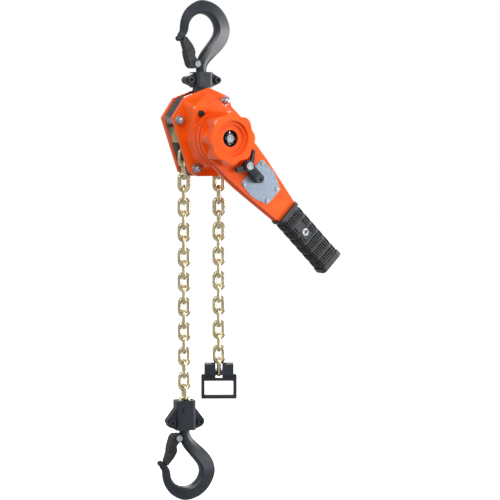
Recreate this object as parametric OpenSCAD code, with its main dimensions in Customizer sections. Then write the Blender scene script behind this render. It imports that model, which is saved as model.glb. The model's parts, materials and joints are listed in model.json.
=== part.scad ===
// Lever chain hoist. Millimetres, +Z up, the lever and handwheel face -Y.
// The origin is the top hook's bearing point, the highest point inside its bowl.
// "f" is the distance in front of the chain's middle plane, so y = -f.

/* [Hooks] */
// Inside radius of each hook's bowl
bowl_r = 22.5; // [20:0.5:24]
// Turn of the bottom block about the load strand at rest
block_turn = -10; // [-15:1:0]
// Radius of the swivelling neck of each hook
neck_r = 7.5; // [7:0.1:8]

/* [Frame] */
// From the top hook's bearing point down to the sheave's axis
hub_drop = 179; // [175:1:185]
// From the sheave's axis up to the suspension pin
pin_rise = 58; // [56:1:60]
// Half of the gap between the side plates
gap = 13; // [13:0.5:14]
// Thickness of each side plate
plate_t = 4; // [3:0.5:4]
// Front of the brake cover
cover_front = 42; // [41:0.5:42.5]
// Back of the gear case
case_back = 44; // [43:1:50]

/* [Chain] */
// Wire diameter of the load chain
wire = 5.7; // [5.6:0.1:5.8]
// Pitch of the load chain
pitch = 18; // [18:0.1:18.2]
// Links in the load strand below the sheave
load_links = 22; // [22:2:26]
// Links in the slack strand below the sheave
slack_links = 19; // [15:2:23]
// Turn of the chain about each strand, reached over the first links
chain_turn = -28; // [-30:1:0]

/* [Gears] */
// Module of all four gears
gear_m = 1; // [1:0.1:1]
// Teeth on the drive shaft's pinion
shaft_teeth = 12; // [12:2:12]
// Teeth on the large intermediate wheels
wheel_teeth = 38; // [38:2:38]
// Teeth on the small intermediate pinions
pinion_teeth = 14; // [14:2:14]
// Teeth on the load gear
load_teeth = 36; // [36:2:36]

/* [Lever] */
// Slope of the lever below the horizontal at rest
lever_slope = 45; // [0:5:90]
// Back and front of the lever's head
lever_back = 44; // [44:0.5:45]
lever_front = 64; // [62:0.5:64]
// From the sheave's axis to the grip's start and end
grip_start = 149; // [145:1:155]
grip_end = 259; // [250:1:265]
// Width and thickness of the grip
grip_w = 40; // [36:1:44]
grip_t = 27; // [25:1:30]
// Distance of the changeover lever's pivot from the sheave's axis
selector_u = 55; // [54:0.5:56]

/* [Handwheel] */
// Outer radius of the handwheel's lobes
wheel_r = 38; // [36:0.5:38]
// Back and front of the handwheel
wheel_back = 68; // [67:0.5:69]
wheel_front = 94; // [92:1:96]

/* [Hidden] */
$fn = 48;

running = 0.05;                              // radial clearance of a turning fit
loose = 0.3;                                 // clearance between pieces that only pass
orange = "orangered";
zinc = "silver";
gold = "goldenrod";
black = "#22262b";

bend_r = wire / 2 + 3.6;                      // centreline radius of a link's rounded ends
link_half = 5.6;                             // half of a link's straight stretch
corner_r = pitch / (2 * sin(18));            // links' meeting points on the sheave
strand_x = corner_r - 0.6;                   // strand's distance from the sheave's axis
pocket_r = corner_r * cos(18);               // centre radius of the upright links
flat_r = pocket_r - 1.6;                     // centre radius of the flat links
swivel_face = 61;                            // bowl centre to the yoke's outer face
bolt_x = 21.5;                               // yoke bolts' distance from the swivel axis
bolt_z = 72.5;                               // bowl centre to the yoke bolts
latch_pivot = [-10.5, 49.5];                   // latch rivet, from the bowl centre
top_pin_z = hub_drop - bowl_r - pin_rise;    // bowl centre to the suspension pin
chain_pin_z = 90;                            // bowl centre to the chain pin
yoke_half = 12.4;                            // half of the yokes' thickness
last_load_z = -pitch * (load_links - 0.5);   // centre of the load strand's last link
block_z = last_load_z - link_half - chain_pin_z;  // bottom bowl centre below the sheave
stop_z = -pitch * (slack_links - 0.5);       // centre of the slack strand's last link
plate_out = gap + plate_t;                   // outer faces of the side plates
flange_front = plate_out + 2.5;              // outer faces of both covers' flanges
gear_axis = gear_m * (load_teeth + pinion_teeth) / 2;
stays = [[-46, 26], [28.5, 54], [50, 22]];   // through bolts, from the sheave's axis
stud = [-19, -43];                           // short stud in the front side plate
cover_fixings = [stays[0], stays[1], stud];  // the nuts that hold the brake cover
pawls = [[-27, 21], [27, -21]];              // pawl pivots
ratchet_r = 25;
shaft_r = 5.5;
pull_out = 4.5;                              // handwheel's travel in free chaining
shaft_end = 87;                              // front end of the drive shaft
cotter_f = 84;                               // cotter pin through the castle nut

// ---- Outlines -----------------------------------------------------------------------

function unit(v) = v / norm(v);
function fold(a) = a > 180 ? a - 360 : (a < -180 ? a + 360 : a);
// The arc of radius r that replaces corner b between a and c
function corner_arc(a, b, c, r, steps) =
    let (to_a = unit(a - b), to_c = unit(c - b), half = acos(to_a * to_c) / 2,
         centre = b + unit(to_a + to_c) * r / sin(half),
         from = b + to_a * r / tan(half) - centre,
         to = b + to_c * r / tan(half) - centre,
         start = atan2(from[1], from[0]),
         turn = fold(atan2(to[1], to[0]) - start))
    [for (i = [0:steps]) centre + r * [cos(start + turn * i / steps),
                                       sin(start + turn * i / steps)]];
function rounded(p, r, steps = 4) =
    [for (i = [0:len(p) - 1])
        each corner_arc(p[(i + len(p) - 1) % len(p)], p[i], p[(i + 1) % len(p)], r, steps)];
function mirrored(p) = concat(p, [for (i = [len(p) - 1:-1:0]) [-p[i][0], p[i][1]]]);
function mirrored_v(p) = concat(p, [for (i = [len(p) - 1:-1:0]) [p[i][0], -p[i][1]]]);
// Polygon p moved in by d: each side is shifted along its normal and the corners re-met
function inset(p, d) =
    [for (i = [0:len(p) - 1])
        let (a = p[(i + len(p) - 1) % len(p)], b = p[i], c = p[(i + 1) % len(p)],
             n1 = unit([b[1] - a[1], a[0] - b[0]]), n2 = unit([c[1] - b[1], b[0] - c[0]]))
        b + (n1 + n2) * d / (1 + n1 * n2)];

frame_points = [[2, 73], [35, 60], [39, 46], [61, 26], [57, 14], [30, -47], [14, -54],
                [-16, -54], [-29, -48], [-56, 30], [-36, 59]];
raised_base = [[3, 68], [16, 46], [37, 40], [55, 22], [49, -6], [34, -32], [12, -46],
               [-10, -46], [-27, -32], [-38, -4], [-40, 50], [-36, 55]];
raised_top = [[0, 47], [18, 44], [32, 38], [46, 22], [42, -6], [30, -29], [11, -39],
              [-9, -39], [-24, -29], [-33, -4], [-35, 44], [-30, 47]];

// ---- Placing ------------------------------------------------------------------------

module at_hub() translate([0, 0, -hub_drop]) children();
module at_top_bowl() translate([0, 0, -bowl_r]) rotate([180, 0, 0]) children();
module at_bottom_bowl()
    translate([-strand_x, 0, block_z - hub_drop]) rotate([0, 0, block_turn]) children();
module along_lever() at_hub() rotate([0, lever_slope, 0]) children();
module at_stop()
    translate([strand_x, 0, stop_z - hub_drop]) rotate([0, 0, chain_turn]) children();

// An outline in the X-Z plane, from f0 to f1 in front of the middle plane
module slab(f0, f1) translate([0, -f0, 0]) rotate([90, 0, 0]) linear_extrude(f1 - f0) children();
module rod(r, f0, f1, at = [0, 0])
    translate([at[0], -f0, at[1]]) rotate([90, 0, 0]) cylinder(h = f1 - f0, r = r);
module tube(r, hole, f0, f1, at = [0, 0])
    difference() {
        rod(r, f0, f1, at);
        rod(hole, f0 - 1, f1 + 1, at);
    }
module ring_spring(r, wire_r, f0, coils, step)
    for (i = [0:coils - 1])
        translate([0, -f0 - i * step, 0]) rotate([90, 0, 0])
            rotate_extrude() translate([r, 0]) circle(wire_r, $fn = 16);

// ---- Hooks --------------------------------------------------------------------------

// Each station is [x, z, half width, half thickness], from the neck round to the tip
function bowl_out(a) = lookup(a, [[-180, 34.2], [-160, 34.5], [-135, 37], [-110, 40],
                                  [-90, 42.8], [-60, 43.5], [-30, 44.5], [0, 46]]);
function bowl_half(a) = (bowl_out(a) - bowl_r) / 2;
function bowl_mid(a) = (bowl_out(a) + bowl_r) / 2;
function bowl_thick(a) = lookup(a, [[-180, 6], [-120, 7.6], [-60, 8.8], [0, 9]]);
hook_path = concat(
    [[0, 60.5, 7.6, 7.6], [0, 54, 7.8, 7.8], [2.5, 46, 8.6, 8], [7.5, 38.5, 9.4, 8.4],
     [15.5, 30, 10.2, 8.8], [24.5, 20.5, 11, 9], [31.5, 10.5, 11.5, 9]],
    [for (a = [0:-15:-180]) [bowl_mid(a) * cos(a), bowl_mid(a) * sin(a), bowl_half(a),
                             bowl_thick(a)]],
    [[-30, 5, 5.2, 5.8], [-33.6, 10.2, 4.9, 5.4]]);
hook_end = [-31, 15.5];                      // beyond the tip: sets the last section's slope
function hook_point(i) =
    i < 0 ? [0, 66] : (i >= len(hook_path) ? hook_end : [hook_path[i][0], hook_path[i][1]]);
section_n = 16;
// A forged section: full on the inside of the bend and tapering to the outside
function hook_ring(i) =
    let (s = hook_path[i], t = unit(hook_point(i + 1) - hook_point(i - 1)),
         out = [-t[1], t[0]])
    [for (k = [0:section_n - 1])
        let (a = 360 * k / section_n, p = s[2] * cos(a),
             q = s[3] * sin(a) * (1 - 0.22 * cos(a) * min(1, i / 4)))
        [s[0] + out[0] * p, q, s[1] + out[1] * p]];

module swept(rings, n) {
    last = len(rings) - 1;
    polyhedron(
        points = [for (r = rings) each r],
        faces = concat(
            [[for (k = [n - 1:-1:0]) k]],
            [for (i = [0:last - 1], k = [0:n - 1])
                let (a = i * n + k, b = i * n + (k + 1) % n) each [[a, b, b + n], [a, b + n, a + n]]],
            [[for (k = [0:n - 1]) last * n + k]]));
}

module hook_body()
    difference() {
        union() {
            swept([for (i = [0:len(hook_path) - 1]) hook_ring(i)], section_n);
            translate([-37.2, 0, 13.4]) sphere(4.1);
            translate([0, 0, 58]) cylinder(h = 11, r = neck_r);
            translate([0, 0, 66.1]) cylinder(h = 8.9, r = 10.4);
            rod(6.2, -6, 2.6, latch_pivot);
            translate([latch_pivot[0], -2.6, latch_pivot[1] - 6.2]) cube([7, 8.6, 12.4]);
        }
        for (f = [-16, 6]) rod(7.6, f, f + 10, latch_pivot);
        rod(4.7, 2.6, 12, latch_pivot);
        rod(2.4 + running, -12, 12, latch_pivot);
    }

latch_points = [[-12, 55.4], [-17, 55.8], [-21.5, 52], [-25.5, 39], [-26.6, 33], [-31.8, 16],
                [-31, 12.6], [-28.9, 11.2], [-26.6, 10.6], [-17.5, 21], [-13.2, 28.5],
                [-14.2, 38], [-10.5, 43.2]];
module latch_body()
    difference() {
        union() {
            rod(6.3, -8.6, 8.6, latch_pivot);
            intersection() {
                slab(-8.6, 8.6) polygon(latch_points);
                translate([-40, -8.6, 31]) cube([40, 17.2, 30]);
            }
            slab(-6, 6) polygon(latch_points);
        }
        rod(2.4 + running, -12, 12, latch_pivot);
        rod(7.4, -6.3, 6.3, latch_pivot);
        slab(-6.3, 6.3) polygon([[-10.5, 36], [20, 20], [20, 62], [-12, 62]]);
    }

module latch_rivet_body()
    union() {
        rod(2.4, -9.8, 9.8, latch_pivot);
        rod(4.4, -10.3, -8.7, latch_pivot);
        rod(4.4, 8.7, 10.3, latch_pivot);
    }

module latch_spring_body()
    translate([latch_pivot[0], 0, latch_pivot[1]]) ring_spring(3.6, 0.5, 3.3, 3, 0.8);

// ---- Yokes --------------------------------------------------------------------------

module wing(points) slab(-7, 7) polygon(rounded(points, 3));
// A block of the given half width from z0 to z1, its upright edges rounded
module post(half_w, z0, z1)
    translate([0, 0, z0]) linear_extrude(z1 - z0)
        polygon(rounded([[half_w, yoke_half], [-half_w, yoke_half],
                         [-half_w, -yoke_half], [half_w, -yoke_half]], 5));
module yoke_bolt_holes()
    for (side = [-1, 1]) rod(3 + running, -20, 20, [side * bolt_x, bolt_z]);
module swivel_socket() {
    translate([0, 0, swivel_face - 1]) cylinder(h = 7, r = neck_r + running);
    translate([0, 0, 66]) cylinder(h = 9.6, r = 10.7);
}
// Keeps the half on one side of the middle plane: side 1 is +y, side -1 is -y
module half_of(side)
    intersection() {
        children();
        translate([-60, side > 0 ? 0 : -60, 0]) cube([120, 60, 160]);
    }

module top_yoke_body()
    difference() {
        union() {
            wing(mirrored([[14, 62], [25, 67.5], [28.8, bolt_z], [25, 77.5], [14, 82]]));
            post(14, swivel_face, 83);
            post(9.5, 83, top_pin_z);
            rod(9.5, -yoke_half, yoke_half, [0, top_pin_z]);
        }
        swivel_socket();
        yoke_bolt_holes();
        rod(5 + running, -20, 20, [0, top_pin_z]);
    }

module bottom_yoke_body()
    difference() {
        union() {
            wing(mirrored([[12, swivel_face], [25, 66], [28.6, 74.5], [14, 94]]));
            post(14.5, swivel_face, 104);
        }
        swivel_socket();
        yoke_bolt_holes();
        rod(3.4 + running, -20, 20, [0, chain_pin_z]);
        translate([-12.3, -3.6, 78.5]) cube([24.6, 7.2, 30]);
        translate([-5, -9.6, 96.5]) cube([10, 19.2, 10]);
    }

// side is the direction along y in which the socket heads face
module yoke_bolts_body(side)
    for (x = [-bolt_x, bolt_x])
        translate([x, 0, bolt_z]) rotate([-90 * side, 0, 0]) {
            difference() {
                union() {
                    translate([0, 0, -11.5]) cylinder(h = 19, r = 3);
                    translate([0, 0, 7]) cylinder(h = 4.8, r = 4.9);
                }
                translate([0, 0, 8.8]) cylinder(h = 4, r = 2.7, $fn = 6);
            }
            translate([0, 0, -11]) difference() {
                cylinder(h = 4, r = 5.6, $fn = 6);
                translate([0, 0, -1]) cylinder(h = 6, r = 3);
            }
        }

module top_hook() color(black) at_top_bowl() hook_body();
module top_hook_latch() color(black) at_top_bowl() latch_body();
module top_latch_rivet() color(zinc) at_top_bowl() latch_rivet_body();
module top_latch_spring() color(zinc) at_top_bowl() latch_spring_body();
module top_yoke_front() color(black) at_top_bowl() half_of(1) top_yoke_body();
module top_yoke_rear() color(black) at_top_bowl() half_of(-1) top_yoke_body();
module top_yoke_bolts() color(black) at_top_bowl() yoke_bolts_body(1);
module bottom_hook() color(black) at_bottom_bowl() hook_body();
module bottom_hook_latch() color(black) at_bottom_bowl() latch_body();
module bottom_latch_rivet() color(zinc) at_bottom_bowl() latch_rivet_body();
module bottom_latch_spring() color(zinc) at_bottom_bowl() latch_spring_body();
module bottom_yoke_front() color(black) at_bottom_bowl() half_of(-1) bottom_yoke_body();
module bottom_yoke_rear() color(black) at_bottom_bowl() half_of(1) bottom_yoke_body();
module bottom_yoke_bolts() color(black) at_bottom_bowl() yoke_bolts_body(-1);
module chain_pin() color(black) at_bottom_bowl() {
    rod(3.4, -13.6, 13.6, [0, chain_pin_z]);
    rod(5.4, 12.4, 14.2, [0, chain_pin_z]);
    rod(5.4, -14.2, -12.4, [0, chain_pin_z]);
}

// ---- Frame --------------------------------------------------------------------------

module plate_shape() polygon(rounded(inset(frame_points, 2.4), 3));
module flange_shape() polygon(rounded(frame_points, 3));

module suspension_pin() color(zinc) at_hub() union() {
    rod(5, -plate_out, plate_out, [0, pin_rise]);
}

module side_plate(f0)
    difference() {
        slab(f0, f0 + plate_t) plate_shape();
        rod(5 + running, f0 - 1, f0 + plate_t + 1, [0, pin_rise]);
        for (s = stays) rod(3.5 + running, f0 - 1, f0 + plate_t + 1, s);
        rod(14 + running, f0 - 1, f0 + plate_t + 1);
        children();
    }
module front_side_plate() color(gold) at_hub() side_plate(gap) {
    rod(3.5 + running, gap - 1, plate_out + 1, stud);
    for (p = pawls) rod(3 + running, gap - 1, plate_out + 1, p);
}
module rear_side_plate() color("slategray") at_hub() side_plate(-plate_out)
    for (z = [-gear_axis, gear_axis]) rod(4 + running, -plate_out - 1, -gap + 1, [0, z]);

module stay_bolts() color(zinc) at_hub() {
    for (s = stays) {
        rod(3.5, -flange_front - 1, s == stays[2] ? plate_out : flange_front + 6, s);
        translate([s[0], flange_front + 4.5, s[1]]) rotate([90, 0, 0])
            cylinder(h = 4.5, r = 6.4, $fn = 6);
    }
    rod(3.5, gap, flange_front + 6, stud);
}
module stay_spacers() color(zinc) at_hub() for (s = stays)
    difference() {
        union() {
            rod(5, -gap, gap, s);
            for (f = [-12.9, -6.5, 0, 6.5]) rod(6.2, f, f + 4.4, s);
        }
        rod(3.5 + running, -gap - 1, gap + 1, s);
    }

module dome_nut(at)
    translate([at[0], -flange_front, at[1]]) rotate([90, 0, 0])
        difference() {
            union() {
                cylinder(h = 1.2, r = 6.8);
                translate([0, 0, 1.2]) cylinder(h = 4.3, r = 5.9, $fn = 6);
                translate([0, 0, 5.5]) cylinder(h = 1.4, r = 4.9);
                intersection() {
                    translate([0, 0, 5.4]) sphere(4.9);
                    translate([0, 0, 6.9]) cylinder(h = 10, r = 6);
                }
            }
            translate([0, 0, -1]) cylinder(h = 7.1, r = 3.5 + running);
        }
module cover_nuts() color(zinc) at_hub() for (s = cover_fixings) dome_nut(s);

// The raised part of a pressed cover: a hull from the base outline to the top outline
module raised(base, top, f0, f1, steps = 3)
    hull() {
        slab(f0, f0 + 0.5) polygon(rounded(base, 4, steps));
        slab(f1 - 3, f1 - 2.5) polygon(rounded(top, 5, steps));
        slab(f1 - 0.5, f1) polygon(rounded(inset(top, 3), 4, steps));
    }
module brake_cover() color(orange) at_hub()
    difference() {
        union() {
            difference() {
                slab(gap, flange_front) flange_shape();
                slab(gap - 1, plate_out) polygon(rounded(inset(frame_points, 2.2), 3));
            }
            raised(raised_base, raised_top, plate_out, cover_front);
        }
        difference() {
            raised(inset(raised_base, 2.4), inset(raised_top, 2.4), plate_out - 1,
                   cover_front - 2.4);
            for (s = cover_fixings) rod(9.4, 0, 60, s);
        }
        rod(16, 0, 60);
        for (s = cover_fixings) {
            rod(3.8, 0, 60, s);
            rod(7.2, flange_front, 60, s);
        }
        rod(3.6, 0, 60, [-22.5, 35]);
    }
module cover_plug() color(black) at_hub() {
    rod(3.5, cover_front - 4, cover_front + 0.5, [-22.5, 35]);
    rod(4.9, cover_front, cover_front + 1.6, [-22.5, 35]);
}

case_base = mirrored([[8, 58], [20, 50], [31, 40], [37, 20], [35, -8], [31, -30], [26, -46],
                      [17, -52]]);
case_top = mirrored([[7, 51], [18, 45], [27, 34], [30, 18], [29.5, -2], [22.5, -24], [15.5, -42],
                     [10, -48]]);
module gear_case() color(orange) at_hub() mirror([0, 1, 0])
    difference() {
        union() {
            difference() {
                slab(gap, flange_front) flange_shape();
                slab(gap - 2, plate_out) polygon(rounded(inset(frame_points, 2.2), 3));
            }
            raised(case_base, case_top, plate_out, case_back);
        }
        raised(inset(case_base, 2.4), inset(case_top, 2.4), plate_out - 1, case_back - 2.4);
        for (s = stays) rod(3.8, 0, 60, s);
    }

// ---- Sheave and chain ---------------------------------------------------------------

module load_sheave() color("dimgray") at_hub()
    difference() {
        union() {
            rod(16.5, -12, 12);
            for (f = [-11.4, 3.7]) rod(22.9, f, f + 7.7);
            for (i = [0:4], side = [-1, 1])
                rotate([0, -18 - 72 * i, 0])
                    translate([0, side * 7.55, 0]) rotate([90, 0, 0])
                        linear_extrude(7.7, center = true)
                            polygon([[21, -4.5], [28, -2.6], [31.5, -1.4], [31.5, 1.4],
                                     [28, 2.6], [21, 4.5]]);
            rod(11, 12, plate_out - 0.2);
            rod(11, -plate_out - 1, -12);
            rod(9, -27, -12);
        }
        rod(shaft_r + 0.1, -40, 40);
    }
module sheave_bearings() color(zinc) at_hub() {
    tube(14, 11 + running, gap + 0.2, plate_out - 0.2);
    tube(14, 11 + running, -plate_out + 0.2, -gap - 0.2);
}

// A link standing in the X-Z plane, its middle at the origin
module link()
    for (end = [0, 180])
        rotate([0, end, 0]) {
            translate([0, 0, link_half]) rotate([90, 0, 0])
                rotate_extrude(angle = 180) translate([bend_r, 0]) circle(wire / 2, $fn = 20);
            translate([bend_r, 0, -link_half]) cylinder(h = 2 * link_half, r = wire / 2, $fn = 20);
        }
// Turn of link k: eased in over the first links, and eased to the block at the last ones
function link_turn(k, links, last_turn) =
    let (start = chain_turn * min(1, k / 4), left = links - 1 - k)
    left < 5 ? last_turn + (start - last_turn) * left / 5 : start;
module strand(links, last_turn)
    for (k = [0:links - 1])
        translate([0, 0, -pitch * (k + 0.5)])
            rotate([0, 0, link_turn(k, links, last_turn) + (k % 2 == 0 ? 90 : 0)]) link();
module load_chain() color(gold) at_hub()
    translate([-strand_x, 0, 0]) strand(load_links, block_turn);
module slack_chain() color(gold) at_hub()
    translate([strand_x, 0, 0]) strand(slack_links, chain_turn);
module chain_over_sheave() color(gold) at_hub() for (i = [0:4])
    rotate([0, -18 - 36 * i, 0]) translate([i % 2 == 0 ? pocket_r : flat_r, 0, 0])
        rotate([0, 0, i % 2 == 0 ? 0 : 90]) link();

module chain_guides() color(gold) at_hub() for (side = [-1, 1])
    intersection() {
        slab(-gap, gap) polygon(
            [for (p = [[40.4, 16], [42.8, 16], [42.8, -16], [47, -30], [44.6, -31], [40.4, -17]])
                [side * p[0], p[1]]]);
        slab(-gap, gap) polygon(inset(frame_points, 3));
    }
module chain_stripper() color(zinc) at_hub()
    difference() {
        union() {
            slab(-gap, gap) polygon(mirrored([[3, -33], [11, -38], [12, -47], [7, -51]]));
            slab(-2.6, 2.6) polygon(mirrored([[5, -18.5], [9, -27], [11, -38]]));
        }
        rod(3, -20, 20, [0, -43]);
    }

module chain_stop() color(black) at_stop()
    difference() {
        union() {
            translate([-21.3, -12, -11.8]) cube([42.6, 24, 16]);
            difference() {
                translate([0, 4, 0]) rotate([90, 0, 0]) linear_extrude(8) polygon(
                    rounded([[26, -11.8], [-26, -11.8], [-26, -47.4], [26, -47.4]], 2));
                translate([-21, -6, -42.2]) cube([42, 12, 21]);
            }
        }
        translate([-5, -13, -17.4]) cube([10, 26, 25]);
        translate([-11, -7.5, -1]) cube([22, 15, 10]);
        rod_x(2.6 + running, -30, 30, -link_half);
    }
module rod_x(r, x0, x1, z) translate([x0, 0, z]) rotate([0, 90, 0]) cylinder(h = x1 - x0, r = r);
module chain_stop_pin() color(zinc) at_stop() rod_x(2.6, -21.3, 21.3, -link_half);

// ---- Gears --------------------------------------------------------------------------

function involute(base, a) = base * [cos(a) + a * PI / 180 * sin(a), sin(a) - a * PI / 180 * cos(a)];
function turned(p, a) = [p[0] * cos(a) - p[1] * sin(a), p[0] * sin(a) + p[1] * cos(a)];
// Outline of a spur gear with a tooth centred on angle 0
module gear_shape(teeth, slack = 0.16) {
    pressure = 25;
    pitch_r = gear_m * teeth / 2;
    base = pitch_r * cos(pressure);
    root = pitch_r - 1.3 * gear_m;
    tip = pitch_r + 0.95 * gear_m;
    unroll = sqrt(pow(tip / base, 2) - 1) * 180 / PI;
    at_pitch = tan(pressure) * 180 / PI - pressure;
    half = 90 / teeth - slack / 2 / pitch_r * 180 / PI + at_pitch;
    flank = [for (i = [0:4]) turned(involute(base, unroll * i / 4), -half)];
    low = [root * cos(half * 1.04), -root * sin(half * 1.04)];
    one = concat(root < base ? [low] : [], flank);
    tooth = concat(one, [for (i = [len(one) - 1:-1:0]) [one[i][0], -one[i][1]]]);
    polygon([for (t = [0:teeth - 1]) each [for (p = tooth) turned(p, 360 * t / teeth)]]);
}

module load_gear() color("dimgray") at_hub()
    difference() {
        slab(-26.5, -19.6) gear_shape(load_teeth);
        rod(9.02, -40, 0);
    }
module drive_shaft() color(zinc) at_hub() difference() {
    union() {
        rod(shaft_r, -28, shaft_end);
        slab(-34, -27.6) gear_shape(shaft_teeth);
        rod(3.5, -39, -33);
    }
    translate([0, -cotter_f, 0]) cylinder(h = 30, r = 1.6, center = true);
}
// Both intermediate gears: a small pinion on the load gear and a wheel on the shaft's pinion
module intermediate_gear()
    translate([0, 0, gear_axis]) {
        slab(-27, -19.6) rotate(-90 + 180 / pinion_teeth) gear_shape(pinion_teeth);
        slab(-33.5, -28) rotate(-90 + 180 / wheel_teeth) gear_shape(wheel_teeth);
        rod(4, -39.2, -gap - 0.4);
        rod(6, -36.2, -27.5);
    }
module upper_gear() color("gray") at_hub() intermediate_gear();
module lower_gear() color("gray") at_hub() rotate([0, 180, 0]) intermediate_gear();
module gear_plate() color(zinc) at_hub() {
    difference() {
        slab(-39, -36.5) polygon(rounded(mirrored([[12, 33], [25.4, 6], [25.4, -6], [12, -33]]), 5));
        for (z = [-gear_axis, gear_axis]) rod(4 + running, -50, -30, [0, z]);
        rod(3.5 + running, -50, -30);
        for (x = [-22.3, 22.3]) rod(2 + running, -50, -30, [x, 0]);
    }
    for (x = [-22.3, 22.3]) {
        rod(3, -36.5, -plate_out, [x, 0]);
        rod(2, -40, -36.5, [x, 0]);
        rod(3.1, -40.4, -39, [x, 0]);
    }
}

// ---- Brake --------------------------------------------------------------------------

module brake_hub() color("dimgray") at_hub() difference() {
    union() {
        rod(20, 19, 24.9);
        rod(9.5, 19, 33);
    }
    rod(shaft_r + 0.02, 10, 40);
}
module friction_discs() color("darkslategray") at_hub() {
    tube(20.5, 10, 25, 27);
    tube(20.5, 10, 31.4, 33.2);
}
module ratchet_disc() color(zinc) at_hub() slab(27.1, 31.3)
    difference() {
        polygon([for (t = [0:11]) each [
            turned([ratchet_r, 0], 30 * t), turned([ratchet_r - 3.6, 0], 30 * t + 2),
            turned([ratchet_r - 1.6, 0], 30 * t + 17)]]);
        circle(10);
    }
// A pawl about its own pivot; its beak rests just off the ratchet disc
pawl_r = norm(pawls[0]);
pawl_a = atan2(pawls[0][1], pawls[0][0]);
function on_pawl(r, a) = r * [cos(pawl_a + a), sin(pawl_a + a)] - pawls[0];
pawl_points = [for (p = [[34.2, 9], [38.4, 6], [39.8, 1], [39, -4], [34.5, -12], [27.5, -19.3],
                         [22.2, -18.8], [23.6, -14.5], [25.8, -11], [28.4, -5], [29.2, 5]])
               on_pawl(p[0], p[1])];
module pawl() slab(27.1, 31.3) difference() {
    polygon(pawl_points);
    circle(3 + running);
}
module at_pawl(i) translate([pawls[i][0], 0, pawls[i][1]]) rotate([0, 180 * i, 0]) children();
module upper_pawl() color("gray") at_hub() at_pawl(0) pawl();
module lower_pawl() color("gray") at_hub() at_pawl(1) pawl();
module pawl_pins() color(zinc) at_hub() for (p = pawls) {
    rod(3, gap, 32.8, p);
    rod(4.4, plate_out, 20, p);
    rod(4.4, 31.6, 32.8, p);
}
module pawl_springs() color(zinc) at_hub() for (p = pawls)
    translate([p[0], 0, p[1]]) ring_spring(3.8, 0.5, 21.2, 6, 0.9);
module change_gear() color("dimgray") at_hub() difference() {
    union() {
        rod(20.5, 33.4, 37);
        rod(13, 33.4, 47.4);
        rod(15, 47.4, 58);
        for (t = [0:11]) rotate([0, 30 * t, 0]) slab(47.8, 57.6)
            polygon([[13, -2.8], [17.6, -1.6], [17.6, 1.6], [13, 2.8]]);
        rod(12, 58, 68.4);
    }
    rod(shaft_r + 0.02, 0, 90);
}

// ---- Lever --------------------------------------------------------------------------

head_r = 38;
body_points = [[18, 33.2], [46, 32.6], [74, 30], [112, 24.4], [grip_start + 1, 18.6]];
module lever_shape(out = 0) {
    circle(head_r + out);
    polygon(mirrored_v([for (p = body_points) [p[0], p[1] + out]]));
}
module tongue(half_w) polygon([[120, -half_w], [120, half_w], [grip_end - 9, half_w],
                               [grip_end - 9, -half_w]]);
middle_f = (lever_back + lever_front) / 2;

module lever_rear_shell() color(orange) along_lever()
    difference() {
        union() {
            slab(lever_back, middle_f) lever_shape();
            slab(middle_f - 1.6, middle_f) lever_shape(1.5);
            slab(lever_back + 1.6, middle_f) tongue(14);
        }
        slab(lever_back + 2, middle_f + 1) {
            circle(head_r - 2.2);
            polygon(mirrored_v([for (p = body_points) [min(p[0], 136), p[1] - 2.4]]));
        }
        slab(lever_back + 3.6, middle_f + 1) translate([-3, 0]) tongue(12);
        rod(13 + running, 0, 80);
        lever_fixings() rod(2.5 + running, 0, 80);
        rod(4 + running, 0, 80, [selector_u, 0]);
    }
module lever_front_shell() color(orange) along_lever()
    difference() {
        union() {
            slab(middle_f, lever_front) lever_shape();
            slab(middle_f, lever_front - 1.6) tongue(14);
            rod(9.5, lever_front - 1, lever_front + 1.6, [selector_u, 0]);
        }
        slab(middle_f - 1, lever_front - 2) {
            circle(head_r - 2.2);
            polygon(mirrored_v([for (p = body_points) [min(p[0], 136), p[1] - 2.4]]));
        }
        slab(middle_f - 1, lever_front - 3.6) translate([-3, 0]) tongue(12);
        rod(12 + running, 0, 80);
        lever_fixings() rod(2.5 + running, 0, lever_front - 1);
        rod(7.4 + running, 0, 80, [selector_u, 0]);
        rod(3 + running, 0, 80, [192, 0]);
    }
module lever_fixings() for (p = [[-29, 0], [10, 28], [10, -28], [90, 0], [126, 0]])
    translate([p[0], 0, p[1]]) children();
module lever_rivets() color(zinc) along_lever() lever_fixings() {
    rod(2.5, lever_back - 1, lever_front - 1);
    rod(4.2, lever_back - 1.2, lever_back);
    rod(4.2, lever_front - 3.6, lever_front - 2);
}

grip_blocks = 6;
grip_lead = 8;                               // plain collar before the first block
block_l = (grip_end - grip_start - 2 * grip_lead) / grip_blocks;
module grip_section(l, w, t, r = 6)
    rotate([0, 90, 0]) linear_extrude(l)
        polygon(rounded([[t / 2, w / 2], [-t / 2, w / 2], [-t / 2, -w / 2], [t / 2, -w / 2]], r));
// The grip's section has its thickness along f and its width across the lever
module grip_bar(u0, u1, w, t, r = 6)
    translate([u0, -middle_f - 1, 0]) rotate([90, 0, 0]) grip_section(u1 - u0, w, t, r);
module grip() color("#1b1d20") along_lever()
    difference() {
        union() {
            grip_bar(grip_start + 3, grip_end - 4, grip_w - 4, grip_t - 2);
            grip_bar(grip_start, grip_start + 6, grip_w + 2, grip_t + 1);
            grip_bar(grip_end - 8, grip_end, grip_w + 1, grip_t);
            for (i = [1:grip_blocks - 1])
                grip_bar(grip_start + grip_lead + block_l * i - 1.6,
                         grip_start + grip_lead + block_l * i + 1.6, grip_w - 2, grip_t - 0.6);
        }
        slab(lever_back + 1.5, lever_front - 1.5) polygon(
            [[100, -14.1], [100, 14.1], [grip_end - 8.6, 14.1], [grip_end - 8.6, -14.1]]);
        slab(0, 100) polygon(mirrored_v([[100, 40], [grip_start + 1.05, 40]]));
        rod(5.6, middle_f, 90, [192, 0]);
    }
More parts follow.
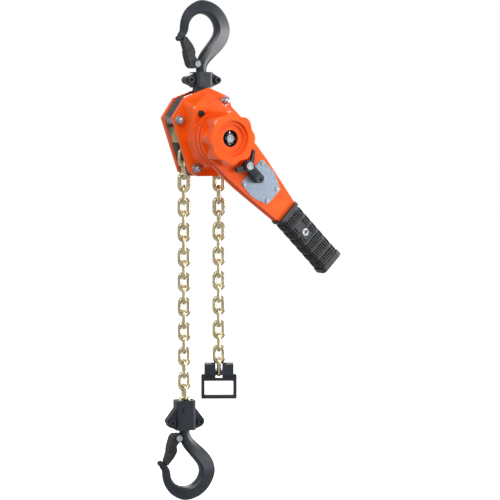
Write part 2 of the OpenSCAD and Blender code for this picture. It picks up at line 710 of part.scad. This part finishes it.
module grip_screw() color(zinc) along_lever() difference() {
    union() {
        rod(3, 54, lever_front + 0.4, [192, 0]);
        rod(5.4, lever_front - 1.6, lever_front + 3.4, [192, 0]);
    }
    rod(2.6, lever_front + 0.8, 90, [192, 0]);
}

plate_points = mirrored_v([[65.5, 22.5], [69, 25], [92, 25.2], [106, 21], [119, 14.5]]);
plate_fixings = [[71, 21], [71, -21], [114.5, 12], [114.5, -12]];
module data_plate() color("lightsteelblue") along_lever()
    difference() {
        slab(lever_front, lever_front + 0.8) polygon(rounded(plate_points, 1.5, 2));
        for (p = plate_fixings) rod(1.5 + running, 0, 90, p);
    }
module plate_rivets() color(zinc) along_lever() for (p = plate_fixings) {
    rod(1.5, lever_front, lever_front + 1, p);
    rod(2.8, lever_front + 0.8, lever_front + 1.9, p);
}

selector_back = lever_front + 2;
selector_front = selector_back + 7;
module changeover_lever() color(black) along_lever() translate([selector_u, 0, 0])
    difference() {
        union() {
            rod(8.4, selector_back, selector_front);
            slab(selector_back, selector_front - 1.5) {
                polygon([[-2.5, 7.5], [-11.5, 21.5], [-8, 22.5], [4.5, 7]]);
                polygon([[4, -7.5], [-6.5, -19], [-12.8, -16.4], [-8.5, -9], [-6, -3], [-6, 3]]);
            }
            hull() {
                rod(6.4, selector_back, selector_front - 1.6);
                rod(6.6, selector_back, selector_front + 2, [24.5, -1.5]);
            }
            rod(7.4, middle_f + 4.2, selector_back + 1);
            rod(8, lever_back + 4.4, middle_f + 4.4);
            slab(lever_back + 4.4, middle_f + 3.6) polygon(
                mirrored_v([[2, 7.8], [-22, 15], [-34, 12.5], [-33, 8.5], [-20, 6], [-10, 2]]));
        }
        rod(4 + running, 0, 100);
        rod(2, selector_front, 100, [26, -1.5]);
    }
module changeover_pin() color(zinc) along_lever() {
    rod(4, lever_back, selector_front + 0.4, [selector_u, 0]);
    rod(5.7, selector_front + 0.3, selector_front + 2.2, [selector_u, 0]);
}
module changeover_detent() color(zinc) along_lever() {
    translate([selector_u + 8.4, -middle_f, 0]) rotate([0, 90, 0]) cylinder(h = 8, r = 3);
    translate([selector_u + 16.4, -middle_f, 0]) rotate([0, 90, 0])
        for (i = [0:8]) translate([0, 0, 0.55 + i])
            rotate_extrude() translate([2.6, 0]) circle(0.6, $fn = 16);
}

// ---- Handwheel ----------------------------------------------------------------------

lobes = 8;
function lobed(r, deep, n = 96) =
    [for (i = [0:n - 1]) let (a = 360 * i / n) (r - deep * (1 - cos(lobes * a)) / 2) * [cos(a), sin(a)]];
module handwheel() color(orange) at_hub() {
    difference() {
        union() {
            rod(wheel_r, wheel_back, wheel_back + 3.4);
            intersection() {
                slab(wheel_back + 2, wheel_front) polygon(lobed(wheel_r, 5));
                translate([0, -wheel_back, 0]) rotate([90, 0, 0]) rotate_extrude()
                    polygon([[0, 0], [wheel_r + 1, 0], [wheel_r + 1, wheel_front - wheel_back - 5],
                             [wheel_r - 1, wheel_front - wheel_back - 1.6],
                             [wheel_r - 4, wheel_front - wheel_back], [0, wheel_front - wheel_back]]);
            }
        }
        tube(28, 19.4, 60, wheel_front - 10);
        rod(19.6, 60, wheel_back + 0.9);
        rod(16.8, wheel_back + 3.4, wheel_front - 9);
        rod(12, wheel_front - 10, 120);
        rod(shaft_r + running, 60, 120);
        rod(25.3, wheel_front - 4, 120);
        rod(20, wheel_front - 6.5, 120);
    }
}
module free_chain_spring() color(zinc) at_hub() ring_spring(13.6, 0.7, 72.2, 3, 1);
module castle_nut() color(zinc) at_hub() {
    tube(14.8, shaft_r + 0.02, 79.8, 81);
    difference() {
        rod_hex(8.4, 81, shaft_end - 0.5);
        rod(shaft_r + 0.02, 70, 120);
        for (a = [30, 90, 150]) rotate([0, a, 0])
            translate([-12, -shaft_end - 1, -1.3]) cube([24, shaft_end - cotter_f + 2.4, 2.6]);
    }
}
module rod_hex(r, f0, f1) slab(f0, f1) circle(r, $fn = 6);
module cotter_pin() color("gainsboro") at_hub() translate([0, -cotter_f, 0])
    cylinder(h = 19, r = 1.2, center = true, $fn = 20);

top_hook();
top_hook_latch();
top_latch_rivet();
top_latch_spring();
top_yoke_front();
top_yoke_rear();
top_yoke_bolts();
suspension_pin();
front_side_plate();
rear_side_plate();
stay_bolts();
stay_spacers();
cover_nuts();
brake_cover();
cover_plug();
gear_case();
gear_plate();
load_sheave();
sheave_bearings();
load_gear();
drive_shaft();
upper_gear();
lower_gear();
brake_hub();
friction_discs();
ratchet_disc();
upper_pawl();
lower_pawl();
pawl_pins();
pawl_springs();
change_gear();
lever_rear_shell();
lever_front_shell();
lever_rivets();
grip();
grip_screw();
data_plate();
plate_rivets();
changeover_lever();
changeover_pin();
changeover_detent();
handwheel();
free_chain_spring();
castle_nut();
cotter_pin();
chain_guides();
chain_stripper();
load_chain();
chain_over_sheave();
slack_chain();
chain_stop();
chain_stop_pin();
bottom_yoke_front();
bottom_yoke_rear();
bottom_yoke_bolts();
chain_pin();
bottom_hook();
bottom_hook_latch();
bottom_latch_rivet();
bottom_latch_spring();
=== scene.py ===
"""Looks of a lever chain hoist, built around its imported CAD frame.

Places are in metres in the frame of the CAD: +Z up, the lever and handwheel face -Y, and the
origin is the bearing point of the top hook. The added pieces are drawn in millimetres, where "f"
is a distance in front of the chain's plane and "u" one along the lever from the hub.
"""

import json
import math

import bmesh
import bpy
from mathutils import Matrix, Vector


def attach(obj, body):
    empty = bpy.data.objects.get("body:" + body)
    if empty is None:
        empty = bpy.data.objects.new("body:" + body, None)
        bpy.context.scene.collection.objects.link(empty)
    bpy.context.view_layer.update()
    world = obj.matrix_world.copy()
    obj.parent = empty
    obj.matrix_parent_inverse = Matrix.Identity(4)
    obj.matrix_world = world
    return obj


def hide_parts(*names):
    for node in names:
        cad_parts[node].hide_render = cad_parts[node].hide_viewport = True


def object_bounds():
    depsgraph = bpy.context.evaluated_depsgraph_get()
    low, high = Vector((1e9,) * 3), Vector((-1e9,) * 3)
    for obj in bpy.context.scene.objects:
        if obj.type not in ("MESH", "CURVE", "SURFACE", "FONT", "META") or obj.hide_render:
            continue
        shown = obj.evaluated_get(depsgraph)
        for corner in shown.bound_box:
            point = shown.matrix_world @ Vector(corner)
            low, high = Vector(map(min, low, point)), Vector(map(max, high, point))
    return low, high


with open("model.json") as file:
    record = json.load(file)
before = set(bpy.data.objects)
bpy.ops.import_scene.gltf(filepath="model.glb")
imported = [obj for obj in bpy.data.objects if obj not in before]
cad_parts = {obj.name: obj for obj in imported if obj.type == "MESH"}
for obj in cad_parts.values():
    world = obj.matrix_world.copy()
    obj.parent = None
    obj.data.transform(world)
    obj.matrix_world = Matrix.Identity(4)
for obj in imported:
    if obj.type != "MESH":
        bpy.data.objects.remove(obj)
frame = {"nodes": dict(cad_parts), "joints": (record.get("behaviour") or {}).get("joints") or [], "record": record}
cad_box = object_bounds()
nodes = frame["nodes"]
joint_at = {joint["name"]: Vector(joint["pos_m"]) for joint in frame["joints"]
            if joint.get("pos_m")}

HUB = joint_at["lever_swing"]     # on the axis of the sheave, the lever and the handwheel


# ---- Materials ------------------------------------------------------------------------

COAT_ROUGHNESS = 0.08
BUMP_DEPTH = 0.0006


def linear(hex_colour):
    """A screen colour as the linear red, green, blue and alpha that a shader takes."""
    parts = [int(hex_colour[i:i + 2], 16) / 255 for i in (1, 3, 5)]
    return [c / 12.92 if c < 0.04045 else ((c + 0.055) / 1.055) ** 2.4 for c in parts] + [1]


def material(name, dark, light, metallic=0.0, rough=(0.3, 0.4), scale=60.0, bump=0.0,
             bump_scale=900.0, coat=0.0, spread=(0.35, 0.65), specular=0.5):
    """A procedural finish: colour and roughness vary with noise, and fine noise is the bump.

    dark and light are the ends of the colour ramp, spread the noise values where they are reached,
    and rough the least and the greatest roughness.
    """
    mat = bpy.data.materials.new(name)
    mat.use_nodes = True
    tree = mat.node_tree
    shader = tree.nodes["Principled BSDF"]
    shader.inputs["Metallic"].default_value = metallic
    shader.inputs["Specular IOR Level"].default_value = specular
    shader.inputs["Coat Weight"].default_value = coat
    shader.inputs["Coat Roughness"].default_value = COAT_ROUGHNESS

    place = tree.nodes.new("ShaderNodeTexCoord")
    noise = tree.nodes.new("ShaderNodeTexNoise")
    noise.inputs["Scale"].default_value = scale
    noise.inputs["Detail"].default_value = 5
    tree.links.new(place.outputs["Object"], noise.inputs["Vector"])

    tint = tree.nodes.new("ShaderNodeValToRGB")
    tint.color_ramp.elements[0].position, tint.color_ramp.elements[1].position = spread
    tint.color_ramp.elements[0].color = linear(dark)
    tint.color_ramp.elements[1].color = linear(light)
    tree.links.new(noise.outputs["Fac"], tint.inputs["Fac"])
    tree.links.new(tint.outputs["Color"], shader.inputs["Base Color"])

    gloss = tree.nodes.new("ShaderNodeMapRange")
    gloss.inputs["To Min"].default_value, gloss.inputs["To Max"].default_value = rough
    tree.links.new(noise.outputs["Fac"], gloss.inputs["Value"])
    tree.links.new(gloss.outputs["Result"], shader.inputs["Roughness"])

    if bump:
        grain = tree.nodes.new("ShaderNodeTexNoise")
        grain.inputs["Scale"].default_value = bump_scale
        grain.inputs["Detail"].default_value = 3
        tree.links.new(place.outputs["Object"], grain.inputs["Vector"])
        raise_up = tree.nodes.new("ShaderNodeBump")
        raise_up.inputs["Strength"].default_value = bump
        raise_up.inputs["Distance"].default_value = BUMP_DEPTH
        tree.links.new(grain.outputs["Fac"], raise_up.inputs["Height"])
        tree.links.new(raise_up.outputs["Normal"], shader.inputs["Normal"])
    return mat


FINISH = {
    "orange_paint": material("orange enamel", "#f65206", "#fc600e", rough=(0.22, 0.3), scale=25,
                             coat=0.35, bump=0.05, bump_scale=300, specular=0.3),
    "forged_black": material("black paint on forging", "#1a2027", "#262d35", rough=(0.34, 0.44),
                             scale=45, bump=0.15, bump_scale=420),
    "latch_black": material("rough cast black", "#15171a", "#2b2d30", metallic=0.2,
                            rough=(0.4, 0.6), scale=120, bump=0.7, bump_scale=520),
    "zinc": material("zinc plating", "#a0a4aa", "#ccd0d6", metallic=0.9, rough=(0.2, 0.36),
                     scale=180, bump=0.04),
    "yellow_zinc": material("yellow zinc plating", "#c9b98c", "#efe6c8", metallic=1.0,
                            rough=(0.14, 0.26), scale=130, bump=0.05, spread=(0.3, 0.7)),
    "plate_zinc": material("yellow zinc plate", "#b3a36a", "#d9caa0", metallic=0.6,
                           rough=(0.3, 0.45), scale=60, bump=0.06),
    "slate_plate": material("grey plated plate", "#788086", "#99a1a6", metallic=0.55,
                            rough=(0.3, 0.45), scale=50, bump=0.06),
    # dark_steel is a dark steel finish, and also painted shade: the castle nut deep in the handwheel's bore takes
    # it so that it looks as dark as the shaded bore
    "dark_steel": material("dark steel and painted recess shade", "#34373c", "#50555b", metallic=0.8,
                           rough=(0.3, 0.5), scale=90, bump=0.08),
    "friction": material("brake lining", "#2b241d", "#3d342b", rough=(0.7, 0.9), scale=300,
                         bump=0.4),
    "grip_rubber": material("grip rubber", "#191b1e", "#24272a", rough=(0.38, 0.55), scale=70,
                            bump=0.15, bump_scale=800),
    "plate": material("satin plate", "#8a97a6", "#96a3b2", metallic=0.8, rough=(0.3, 0.4),
                      scale=260, bump=0.05),
    "plug": material("black plug", "#101010", "#191919", rough=(0.3, 0.4)),
}
slots = {entry["node"]: entry["material_slot"] for entry in frame["record"]["subparts"]}


# ---- Edges ----------------------------------------------------------------------------

SHARP = math.radians(34)          # faces that meet at a larger angle have an edge between them
BEVEL_SEGMENTS = 2
BEVELS = {                        # node: edge rounding, in metres
    "brake_cover": 0.0011, "gear_case": 0.0011, "lever_rear_shell": 0.0011,
    "lever_front_shell": 0.0014, "grip": 0.0012, "handwheel": 0.0012, "changeover_lever": 0.001,
    "top_yoke_front": 0.0011, "top_yoke_rear": 0.0011, "bottom_yoke_front": 0.0011,
    "bottom_yoke_rear": 0.0011, "chain_stop": 0.0009, "top_hook_latch": 0.0009,
    "bottom_hook_latch": 0.0009, "cover_nuts": 0.0004, "castle_nut": 0.0004,
    "front_side_plate": 0.0005, "rear_side_plate": 0.0005, "data_plate": 0.0003,
    "top_yoke_bolts": 0.0004, "bottom_yoke_bolts": 0.0004,
}


def smooth(obj):
    """Shades a piece smooth between its sharp edges."""
    for face in obj.data.polygons:
        face.use_smooth = True
    obj.data.set_sharp_from_angle(angle=SHARP)


def soften(obj, width):
    """Rounds the sharp edges of a piece."""
    bevel = obj.modifiers.new("bevel", "BEVEL")
    bevel.width = width
    bevel.segments = BEVEL_SEGMENTS
    bevel.limit_method = "ANGLE"
    bevel.angle_limit = SHARP
    bevel.harden_normals = True
    bevel.use_clamp_overlap = True


for name, obj in nodes.items():
    obj.data.materials.clear()
    obj.data.materials.append(FINISH[slots[name]])
    if name in BEVELS:
        soften(obj, BEVELS[name])


# ---- Pieces that take the place of CAD nodes, or add to them ---------------------------

MM = 0.001
NECK_Z = 66                       # mm from the centre of a hook's bowl to its swivel
LINK_HALF = 5.6                   # mm from the middle of the last link to the stop's hinge
LEVER_SLOPE = math.radians(45)    # below the horizontal at rest
BLOCK_TURN = math.radians(-10)    # of the bottom hook and its yoke about the strand
STOP_TURN = math.radians(-28)     # of the chain stop about its strand

TOP_BOWL = (Matrix.Translation(joint_at["top_swivel"] + Vector((0, 0, NECK_Z * MM)))
            @ Matrix.Rotation(math.pi, 4, "X"))
BOTTOM_BOWL = (Matrix.Translation(joint_at["bottom_swivel"] - Vector((0, 0, NECK_Z * MM)))
               @ Matrix.Rotation(BLOCK_TURN, 4, "Z"))
STOP = (Matrix.Translation(joint_at["chain_stop_hinge"] + Vector((0, 0, LINK_HALF * MM)))
        @ Matrix.Rotation(STOP_TURN, 4, "Z"))
LEVER = Matrix.Translation(HUB) @ Matrix.Rotation(LEVER_SLOPE, 4, "Y")


def piece(name, bm, body, slot_name, place, stands_for=()):
    """Makes an object of a bmesh in millimetres, put at place, that rides on a CAD body."""
    bmesh.ops.recalc_face_normals(bm, faces=bm.faces)
    bm.transform(place @ Matrix.Scale(MM, 4))
    mesh = bpy.data.meshes.new(name)
    bm.to_mesh(mesh)
    bm.free()
    obj = bpy.data.objects.new(name, mesh)
    bpy.context.collection.objects.link(obj)
    mesh.materials.append(FINISH[slot_name])
    smooth(obj)
    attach(obj, body)
    if stands_for:
        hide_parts(*stands_for)


def box(bm, centre, size):
    """Adds a box with its faces square to the axes."""
    bmesh.ops.create_cube(bm, size=1, matrix=(Matrix.Translation(centre)
                                              @ Matrix.Diagonal((*size, 1))))


def loft(bm, rings):
    """Skins a row of point rings that all have the same number of points, and closes its ends."""
    rows = [[bm.verts.new(p) for p in ring] for ring in rings]
    n = len(rows[0])
    for a, b in zip(rows, rows[1:]):
        for i in range(n):
            bm.faces.new((a[i], a[(i + 1) % n], b[(i + 1) % n], b[i]))
    bm.faces.new(rows[0][::-1])
    bm.faces.new(rows[-1])


def turned(bm, profile, centre, steps):
    """Adds a closed profile of (radius, f) points turned about a line along f through centre."""
    rows = []
    for i in range(steps):
        a = 2 * math.pi * i / steps
        rows.append([bm.verts.new((centre[0] + r * math.cos(a), -f, centre[1] + r * math.sin(a)))
                     for r, f in profile])
    m = len(profile)
    for i in range(steps):
        a, b = rows[i], rows[(i + 1) % steps]
        for k in range(m):
            bm.faces.new((a[k], a[(k + 1) % m], b[(k + 1) % m], b[k]))


def between(table, x):
    """Reads a table of (x, value) pairs, straight between its entries."""
    for (x0, v0), (x1, v1) in zip(table, table[1:]):
        if x <= x1:
            return v0 + (v1 - v0) * (x - x0) / (x1 - x0)
    return table[-1][1]


# The two hooks: x and z lie in the plane of the bowl, from its centre, with z towards the neck

BOWL_R = 22.5                     # inside of the bowl
BOWL_OUT = [(-180, 34.2), (-160, 34.5), (-135, 37), (-110, 40), (-90, 42.8), (-60, 43.5),
            (-30, 44.5), (0, 46)]                      # degrees round the bowl, outside radius
BOWL_THICK = [(-180, 6), (-120, 7.6), (-60, 8.8), (0, 9)]          # degrees, half thickness
BOWL_STEP = 15                    # degrees from one station to the next
SPLITS = 4                        # rings from one station to the next
ROUND_RINGS, EASE_RINGS = 6, 16   # rings with a round section, and those that ease to SECTION

TIP_BALL, TIP_BALL_R = (-37.2, 13.4), 4.1
SHANK_R, SHANK_Z = 7.5, (58, 69)
COLLAR_R, COLLAR_Z = 10.4, (66.1, 75)

LATCH_PIVOT = (-10.5, 49.5)
CHEEK_R, CHEEK_F = 8.2, 5.9       # flats pressed in the neck for the latch's cheeks
LUG_R, LUG_BORE_R = 6.2, 2.5
LUG_BACK_F, LUG_FRONT_F = -CHEEK_F, 2.6
LUG_ROOT_X, LUG_ROOT_W = 4.8, 4.4                      # the block that joins the lug to the neck
LUG_FACETS = 40

# Half of the forged section, from the inside of the bend to the outside, as shares of the
# station's half width and half thickness
HALF_SECTION = [(-1, 0), (-0.98, 0.42), (-0.9, 0.76), (-0.62, 1), (-0.3, 0.895), (0, 0.795),
                (0.3, 0.695), (0.6, 0.595), (0.86, 0.5), (0.97, 0.3)]
SECTION = HALF_SECTION + [(1, 0)] + [(p, -q) for p, q in HALF_SECTION[:0:-1]]


def hook_stations():
    """x, z, half width and half thickness of the forging, from its neck to its tip."""
    neck = [(0, NECK_Z, 7.4, 7.4), (0, 60.5, 7.5, 7.5), (0, 54, 7.8, 7.8), (2.5, 46, 8.6, 8),
            (7.5, 38.5, 9.4, 8.4), (15.5, 30, 10.2, 8.8), (24.5, 20.5, 11, 9),
            (31.5, 10.5, 11.5, 9)]
    bowl = []
    for degrees in range(0, -181, -BOWL_STEP):
        a = math.radians(degrees)
        out = between(BOWL_OUT, degrees)
        r = (out + BOWL_R) / 2
        bowl.append((r * math.cos(a), r * math.sin(a), (out - BOWL_R) / 2,
                     between(BOWL_THICK, degrees)))
    tip = [(-30, 5, 5.2, 5.8), (-33.6, 10.2, 4.9, 5.4), (-36, 13.4, 3.6, 3.8)]
    return neck + bowl + tip


def curve_through(points, steps):
    """Catmull-Rom points through a row of tuples."""
    out = []
    last = len(points) - 1
    for i in range(last):
        p = [points[max(0, min(last, i + k))] for k in (-1, 0, 1, 2)]
        for s in range(steps):
            t = s / steps
            out.append(tuple(
                0.5 * (2 * b + (c - a) * t + (2 * a - 5 * b + 4 * c - d) * t * t
                       + (3 * b - a - 3 * c + d) * t ** 3)
                for a, b, c, d in zip(*p)))
    return out + [points[last]]


def sweep(bm):
    """Adds the forging's bar, round at the neck and easing to the forged section below it."""
    line = curve_through(hook_stations(), SPLITS)
    rings = []
    for i, (x, z, half, thick) in enumerate(line):
        before, after = line[max(0, i - 1)], line[min(len(line) - 1, i + 1)]
        run = Vector((after[0] - before[0], after[1] - before[1])).normalized()
        out = Vector((-run.y, run.x))
        ease = max(0.0, min(1, (i - ROUND_RINGS) / EASE_RINGS))
        ring = []
        for p, q in SECTION:
            a = math.atan2(q, p)
            p = half * (p * ease + math.cos(a) * (1 - ease))
            q = thick * (q * ease + math.sin(a) * (1 - ease))
            at = (x + out.x * p, z + out.y * p)
            if math.dist(at, LATCH_PIVOT) < CHEEK_R:
                q = max(-CHEEK_F, min(CHEEK_F, q))
            ring.append((at[0], q, at[1]))
        rings.append(ring)
    loft(bm, rings)


def latch_lug(bm):
    """Adds the bored lug that carries the latch's rivet, and the block that joins it on."""
    px, pz = LATCH_PIVOT
    turned(bm, [(LUG_BORE_R, LUG_BACK_F), (LUG_R, LUG_BACK_F),
                (LUG_R, LUG_FRONT_F), (LUG_BORE_R, LUG_FRONT_F)], LATCH_PIVOT, LUG_FACETS)
    box(bm, (px + LUG_ROOT_X, -(LUG_BACK_F + LUG_FRONT_F) / 2, pz),
        (LUG_ROOT_W, LUG_FRONT_F - LUG_BACK_F, 2 * LUG_R))


def hook(bm):
    """The forging: its bar, the ball on its tip, its shank and collar, and the latch lug."""
    sweep(bm)
    bmesh.ops.create_uvsphere(bm, u_segments=28, v_segments=18, radius=TIP_BALL_R,
                              matrix=Matrix.Translation((TIP_BALL[0], 0, TIP_BALL[1])))
    for r, (z0, z1) in ((SHANK_R, SHANK_Z), (COLLAR_R, COLLAR_Z)):
        bmesh.ops.create_cone(bm, cap_ends=True, segments=40, radius1=r, radius2=r, depth=z1 - z0,
                              matrix=Matrix.Translation((0, 0, (z0 + z1) / 2)))
    latch_lug(bm)


for body, place in (("top_hook", TOP_BOWL), ("bottom_hook", BOTTOM_BOWL)):
    forging = bmesh.new()
    hook(forging)
    piece(body + "_forging", forging, body, "forged_black", place, (body,))


# Web behind the last link, low in the slot of the chain stop

WEB_CENTRE = (0, 11.45, -9.8)
WEB_SIZE = (9.9, 0.9, 10.4)

web = bmesh.new()
box(web, WEB_CENTRE, WEB_SIZE)
piece("stop_web", web, "chain_stop", "forged_black", STOP)


# Ribs moulded round the grip, in blocks between plain cross bands

GRIP_START, GRIP_END = 149, 259   # along the lever, as in the CAD
GRIP_LEAD = 8                     # plain collar at each end
GRIP_BLOCKS = 6
GRIP_MIDDLE_F = 55
CORE_HALF_W, CORE_HALF_T = 18, 12.5
CORE_CORNER_R = 6
CORNER_STEPS = 12
BLOCK = (GRIP_END - GRIP_START - 2 * GRIP_LEAD) / GRIP_BLOCKS
BAND_HALF = 1.6                   # half of a cross band's width
RIB_CLEAR = 1.3                   # between a band and the end of a rib
RIB_PITCH = 3.5
RIB_UP, RIB_WIDE = 1.6, 2.2
RIB_TOP = 0.6                     # width of a rib's top as a share of its foot's
RIB_SUNK = 0.4                    # depth of its foot in the core
SCREW_U, SCREW_ROOM_U, SCREW_ROOM_X = 192, 7, 8


def rounded_outline(half_w, half_t, r):
    """Points and outward normals round a rectangle with round corners, back to the start."""
    path = []
    for cx, cy, start in ((half_w - r, half_t - r, 0), (r - half_w, half_t - r, 90),
                          (r - half_w, r - half_t, 180), (half_w - r, r - half_t, 270)):
        for k in range(CORNER_STEPS + 1):
            a = math.radians(start + 90 * k / CORNER_STEPS)
            normal = Vector((math.cos(a), math.sin(a)))
            path.append((Vector((cx + r * math.cos(a), cy + r * math.sin(a))), normal))
    return path + path[:1]


def evenly_along(path, pitch):
    """Points and normals at equal steps of about pitch along a row of them."""
    length = [0]
    for (a, _), (b, _) in zip(path, path[1:]):
        length.append(length[-1] + (b - a).length)
    count = round(length[-1] / pitch)
    out = []
    for i in range(count):
        want = length[-1] * (i + 0.5) / count
        j = next(k for k in range(1, len(length)) if length[k] >= want) - 1
        t = (want - length[j]) / max(1e-9, length[j + 1] - length[j])
        (at, normal), (next_at, next_normal) = path[j], path[j + 1]
        out.append((at.lerp(next_at, t), normal.lerp(next_normal, t).normalized()))
    return out


def rib_section(at, normal):
    """Foot and top corners of a rib that stands on the core at a point."""
    half = Vector((-normal.y, normal.x)) * RIB_WIDE / 2
    low, high = at - normal * RIB_SUNK, at + normal * RIB_UP
    return [low - half, low + half, high + half * RIB_TOP, high - half * RIB_TOP]


def over_screw(at, u0, u1):
    """Whether a rib from u0 to u1 would stand on the grip's screw."""
    above = at.y > 0 and abs(at.x) < SCREW_ROOM_X
    return above and u0 < SCREW_U + SCREW_ROOM_U and u1 > SCREW_U - SCREW_ROOM_U


ribs = bmesh.new()
core = rounded_outline(CORE_HALF_W, CORE_HALF_T, CORE_CORNER_R)
for number in range(GRIP_BLOCKS):
    block_start = GRIP_START + GRIP_LEAD + BLOCK * number
    u0 = block_start + BAND_HALF + RIB_CLEAR
    u1 = block_start + BLOCK - BAND_HALF - RIB_CLEAR
    for at, normal in evenly_along(core, RIB_PITCH):
        if not over_screw(at, u0, u1):
            section = rib_section(at, normal)
            loft(ribs, [[(u, -(GRIP_MIDDLE_F + p.y), p.x) for p in section] for u in (u0, u1)])
piece("grip_ribs", ribs, "lever", "grip_rubber", LEVER)


# ---- Floor, light and camera ----------------------------------------------------------

FLOOR_SIZE, FLOOR_DROP = 60, 0.02           # metres, the drop below the hoist's lowest point
FLOOR_GREY, FLOOR_ROUGHNESS, FLOOR_GLOW = 0.9, 0.9, 0.58
ROOM_LIGHT = 0.5                            # share of the white behind the hoist that lights it
WHITE = (1, 1, 1, 1)

floor_mat = bpy.data.materials.new("pale floor")
floor_mat.use_nodes = True
floor_shader = floor_mat.node_tree.nodes["Principled BSDF"]
floor_shader.inputs["Base Color"].default_value = (FLOOR_GREY, FLOOR_GREY, FLOOR_GREY, 1)
floor_shader.inputs["Roughness"].default_value = FLOOR_ROUGHNESS
floor_shader.inputs["Emission Color"].default_value = WHITE
floor_shader.inputs["Emission Strength"].default_value = FLOOR_GLOW
bpy.ops.mesh.primitive_plane_add(size=FLOOR_SIZE, location=(0, 0, cad_box[0][2] - FLOOR_DROP))
floor = bpy.context.object
floor.name = "floor"
floor.visible_diffuse = False
floor.visible_glossy = False
floor.data.materials.append(floor_mat)

world = bpy.data.worlds.new("studio")
world.use_nodes = True
room = world.node_tree
rays = room.nodes.new("ShaderNodeLightPath")
level = room.nodes.new("ShaderNodeMapRange")
level.inputs["To Min"].default_value, level.inputs["To Max"].default_value = ROOM_LIGHT, 1
room.links.new(rays.outputs["Is Camera Ray"], level.inputs["Value"])
room.links.new(level.outputs["Result"], room.nodes["Background"].inputs["Strength"])
room.nodes["Background"].inputs["Color"].default_value = WHITE
bpy.context.scene.world = world


def softbox(name, place, aim, size, power):
    """Adds a square area light at place that points at aim."""
    light = bpy.data.lights.new(name, "AREA")
    light.size = size
    light.energy = power
    lamp = bpy.data.objects.new(name, light)
    bpy.context.collection.objects.link(lamp)
    lamp.location = place
    lamp.rotation_euler = (Vector(aim) - Vector(place)).to_track_quat("-Z", "Y").to_euler()


MIDDLE = (0, 0, -0.3)             # of the whole hoist, about
softbox("key", (-0.8, -1.6, 1.6), MIDDLE, size=1.2, power=30)
softbox("side", (1.75, -1.05, -0.25), MIDDLE, size=1.1, power=42)
softbox("streak", (-1.9, -1.2, 0.5), HUB, size=0.35, power=5)
softbox("rim", (0.7, 1.5, 0.9), MIDDLE, size=1.0, power=16)

# The camera stands level with the hub, and is turned so that the hub lies off the middle of the
# picture. Widths and offsets in the picture are in metres at the hub's distance.
VIEW_YAW = math.radians(28)
VIEW_FAR = 2.6
PICTURE_WIDTH = 0.72464
HUB_LEFT, HUB_UP = 0.07043, 0.16159
SENSOR = 36                       # mm

turn_right = math.atan(HUB_LEFT / VIEW_FAR)
tilt_down = math.atan(HUB_UP / VIEW_FAR)
lens = bpy.data.cameras.new("camera")
lens.sensor_width = SENSOR
lens.lens = SENSOR * VIEW_FAR / PICTURE_WIDTH
camera = bpy.data.objects.new("camera", lens)
bpy.context.collection.objects.link(camera)
camera.location = HUB - VIEW_FAR * Vector((math.sin(VIEW_YAW), math.cos(VIEW_YAW), 0))
camera.rotation_euler = (math.pi / 2 - tilt_down, 0, -(VIEW_YAW + turn_right))
bpy.context.scene.camera = camera
bpy.context.scene.view_settings.view_transform = "Standard"
